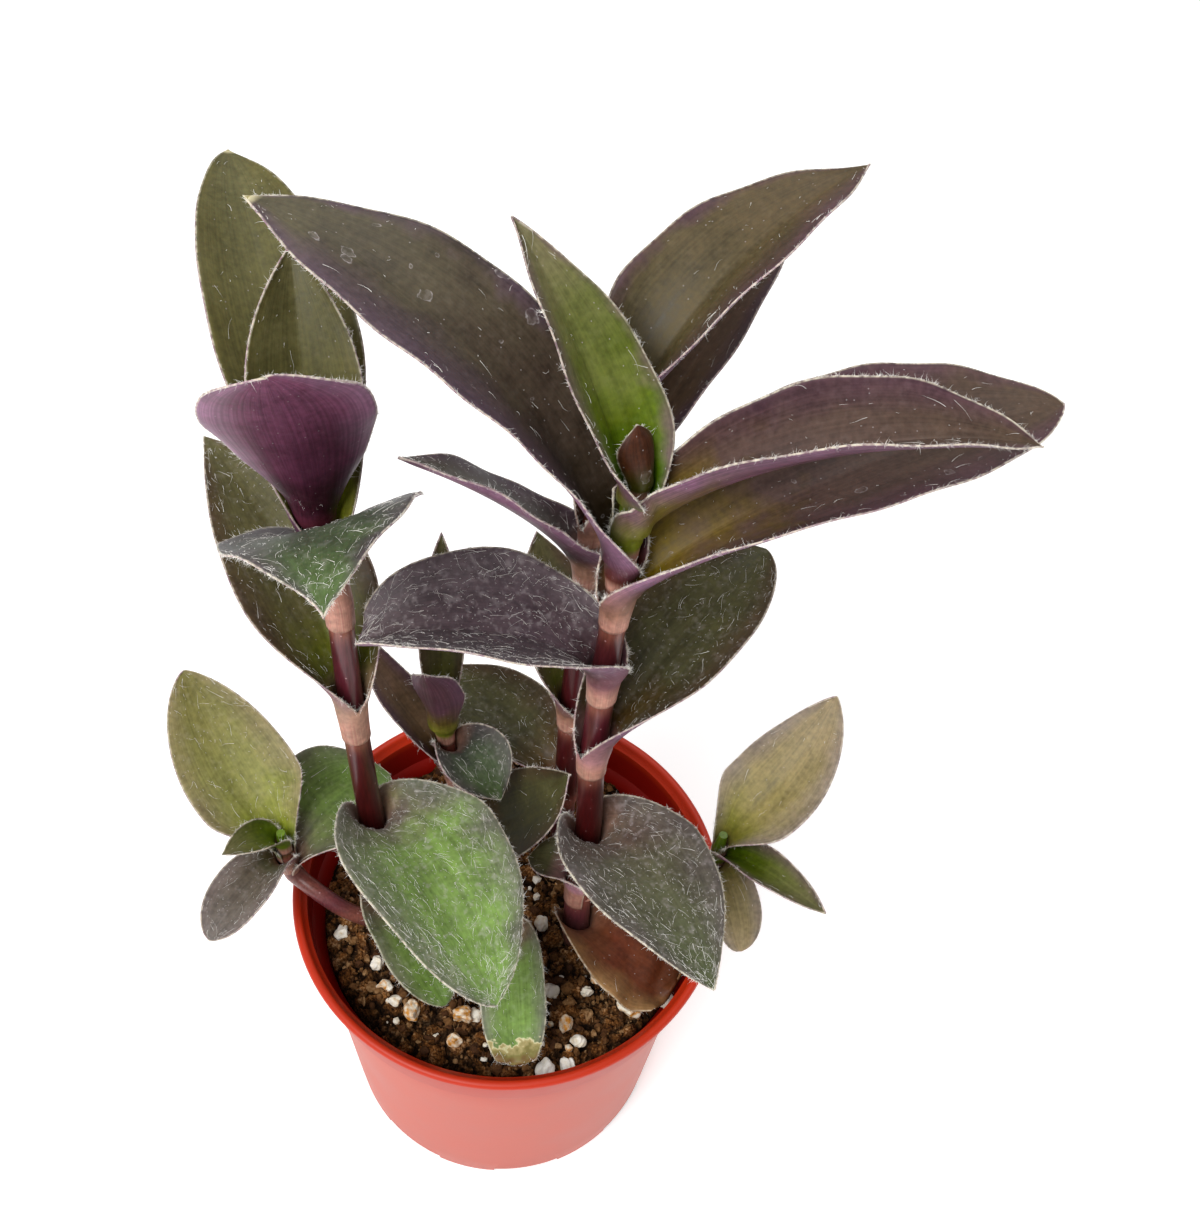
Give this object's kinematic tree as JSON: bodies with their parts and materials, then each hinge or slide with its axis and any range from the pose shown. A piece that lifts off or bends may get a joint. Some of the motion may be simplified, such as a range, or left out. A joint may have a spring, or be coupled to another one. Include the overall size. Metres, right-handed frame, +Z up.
{
  "type": "potted tradescantia",
  "caption": "Bushy tradescantia with clasping green and purple leaves on upright maroon stems, growing in a round red plastic nursery pot of dark soil.",
  "frame": {"origin": "centre of the pot's flat underside", "axes": "+Z up along the pot's axis; -Y is the front, towards the viewer of the picture, and +X is to the right"},
  "size_m": [0.1796, 0.1187, 0.2526],
  "materials": {
    "red_plastic": "satin moulded polypropylene, chalky outside and glossy at the lip",
    "potting_soil": "dark crumbly potting mix with white perlite",
    "maroon_stem": "smooth waxy maroon stem",
    "olive_leaf": "satin olive leaf with fine pale hairs",
    "green_leaf": "satin green leaf with fine pale hairs",
    "purple_leaf": "satin purple-brown leaf with a lilac sheen",
    "dry_leaf": "dry, wrinkled brown leaf"
  },
  "bodies": {
    "root": {"main_dry_leaf": "dry_leaf", "main_leaf_1": "olive_leaf", "main_leaf_2": "olive_leaf", "main_leaf_3": "olive_leaf", "main_leaf_4": "purple_leaf", "main_leaf_5": "olive_leaf", "main_leaf_6": "purple_leaf", "main_leaf_7": "purple_leaf", "main_leaf_8": "green_leaf", "main_bud": "purple_leaf", "left_leaf_1": "green_leaf", "left_leaf_2": "green_leaf", "left_leaf_3": "olive_leaf", "left_leaf_4": "olive_leaf", "left_leaf_5": "olive_leaf", "left_leaf_6": "purple_leaf", "left_leaf_7": "green_leaf", "back_leaf_1": "olive_leaf", "back_leaf_2": "olive_leaf", "back_leaf_3": "purple_leaf", "back_leaf_4": "purple_leaf", "back_leaf_5": "olive_leaf", "back_leaf_6": "olive_leaf", "middle_leaf_1": "olive_leaf", "middle_leaf_2": "olive_leaf", "middle_leaf_3": "olive_leaf", "middle_leaf_4": "purple_leaf", "middle_leaf_5": "olive_leaf", "left_runner_leaf_1": "olive_leaf", "left_runner_leaf_2": "olive_leaf", "left_runner_leaf_3": "green_leaf", "left_runner_leaf_4": "green_leaf", "right_runner_leaf_1": "olive_leaf", "right_runner_leaf_2": "olive_leaf", "right_runner_leaf_3": "olive_leaf", "front_leaf": "green_leaf", "main_stem": "maroon_stem", "left_stem": "maroon_stem", "back_stem": "maroon_stem", "middle_stem": "maroon_stem", "front_stub": "maroon_stem", "pot": "red_plastic", "soil": "potting_soil"}
  },
  "joints": []
}
